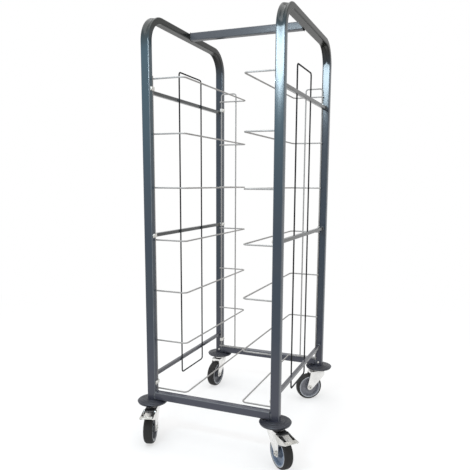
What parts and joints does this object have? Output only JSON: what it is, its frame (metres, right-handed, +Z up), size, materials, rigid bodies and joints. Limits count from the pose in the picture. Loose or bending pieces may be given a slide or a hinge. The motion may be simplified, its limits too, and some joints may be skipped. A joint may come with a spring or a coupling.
{
  "type": "tray return trolley",
  "caption": "Tall tray return trolley with bent tube hoops, wire tray racks on both sides, round bumper discs and swivel castors, the front ones with brakes.",
  "frame": {"origin": "on the floor, midway between the four castor stems", "axes": "+Z up, -Y towards the open front where trays go in, +X to the right seen from the front"},
  "size_m": [0.5698, 0.6887, 1.3545],
  "materials": {
    "frame_paint": "gloss",
    "rack_wire": "bright zinc",
    "fasteners": "zinc",
    "castor_zinc": "bright zinc",
    "pedal_zinc": "bright zinc",
    "bumper_rubber": "satin",
    "brake_plastic": "matt",
    "socket_plastic": "matt",
    "rim_plastic": "satin",
    "tyre": "matt"
  },
  "bodies": {
    "frame": {"left_hoop": "frame_paint", "right_hoop": "frame_paint", "top_crossbar": "frame_paint", "front_bottom_rail": "frame_paint", "back_bottom_rail": "frame_paint", "left_upper_bar": "frame_paint", "left_middle_bar": "frame_paint", "left_lower_bar": "frame_paint", "left_side_loop": "frame_paint", "left_front_leg_wire": "rack_wire", "left_back_stop_wire": "rack_wire", "left_tray_wire_1": "rack_wire", "left_tray_wire_2": "rack_wire", "left_tray_wire_3": "rack_wire", "left_tray_wire_4": "rack_wire", "left_tray_wire_5": "rack_wire", "left_tray_wire_6": "rack_wire", "left_tray_wire_7": "rack_wire", "right_upper_bar": "frame_paint", "right_middle_bar": "frame_paint", "right_lower_bar": "frame_paint", "right_side_loop": "frame_paint", "right_front_leg_wire": "rack_wire", "right_back_stop_wire": "rack_wire", "right_tray_wire_1": "rack_wire", "right_tray_wire_2": "rack_wire", "right_tray_wire_3": "rack_wire", "right_tray_wire_4": "rack_wire", "right_tray_wire_5": "rack_wire", "right_tray_wire_6": "rack_wire", "right_tray_wire_7": "rack_wire", "rack_clips": "fasteners", "frame_screws": "fasteners", "stem_sockets": "socket_plastic", "castor_heads": "castor_zinc", "swivel_cups": "castor_zinc", "front_left_bumper": "bumper_rubber", "front_right_bumper": "bumper_rubber", "back_left_bumper": "bumper_rubber", "back_right_bumper": "bumper_rubber"},
    "front_left_swivel": {"front_left_fork": "castor_zinc", "front_left_axle": "fasteners"},
    "front_left_wheel": {"front_left_rim": "rim_plastic", "front_left_tyre": "tyre"},
    "front_left_pedal": {"front_left_pedal": "pedal_zinc", "front_left_brake_block": "brake_plastic"},
    "front_right_swivel": {"front_right_fork": "castor_zinc", "front_right_axle": "fasteners"},
    "front_right_wheel": {"front_right_rim": "rim_plastic", "front_right_tyre": "tyre"},
    "front_right_pedal": {"front_right_pedal": "pedal_zinc", "front_right_brake_block": "brake_plastic"},
    "back_left_swivel": {"back_left_fork": "castor_zinc", "back_left_axle": "fasteners"},
    "back_left_wheel": {"back_left_rim": "rim_plastic", "back_left_tyre": "tyre"},
    "back_right_swivel": {"back_right_fork": "castor_zinc", "back_right_axle": "fasteners"},
    "back_right_wheel": {"back_right_rim": "rim_plastic", "back_right_tyre": "tyre"}
  },
  "joints": [
    {"name": "front_left_swivel_turn", "type": "hinge", "parent": "frame", "child": "front_left_swivel", "pos_m": [-0.215, -0.268, 0.1099], "axis": [0, 0, 1], "continuous": true},
    {"name": "front_left_wheel_spin", "type": "hinge", "parent": "front_left_swivel", "child": "front_left_wheel", "pos_m": [-0.20198, -0.30582, 0.05], "axis": [0.9455, 0.3256, 0], "continuous": true},
    {"name": "front_left_pedal_tip", "type": "hinge", "parent": "front_left_swivel", "child": "front_left_pedal", "pos_m": [-0.20198, -0.30582, 0.107], "axis": [0.9455, 0.3256, 0], "range_deg": [0, 7]},
    {"name": "front_right_swivel_turn", "type": "hinge", "parent": "frame", "child": "front_right_swivel", "pos_m": [0.215, -0.268, 0.1099], "axis": [0, 0, 1], "continuous": true},
    {"name": "front_right_wheel_spin", "type": "hinge", "parent": "front_right_swivel", "child": "front_right_wheel", "pos_m": [0.24473, -0.29476, 0.05], "axis": [0.6691, 0.7431, 0], "continuous": true},
    {"name": "front_right_pedal_tip", "type": "hinge", "parent": "front_right_swivel", "child": "front_right_pedal", "pos_m": [0.24473, -0.29476, 0.107], "axis": [0.6691, 0.7431, 0], "range_deg": [-4, 3]},
    {"name": "back_left_swivel_turn", "type": "hinge", "parent": "frame", "child": "back_left_swivel", "pos_m": [-0.215, 0.268, 0.1099], "axis": [0, 0, 1], "continuous": true},
    {"name": "back_left_wheel_spin", "type": "hinge", "parent": "back_left_swivel", "child": "back_left_wheel", "pos_m": [-0.21779, 0.2281, 0.05], "axis": [0.9976, -0.0698, 0], "continuous": true},
    {"name": "back_right_swivel_turn", "type": "hinge", "parent": "frame", "child": "back_right_swivel", "pos_m": [0.215, 0.268, 0.1099], "axis": [0, 0, 1], "continuous": true},
    {"name": "back_right_wheel_spin", "type": "hinge", "parent": "back_right_swivel", "child": "back_right_wheel", "pos_m": [0.18223, 0.24506, 0.05], "axis": [0.5736, -0.8192, 0], "continuous": true}
  ]
}
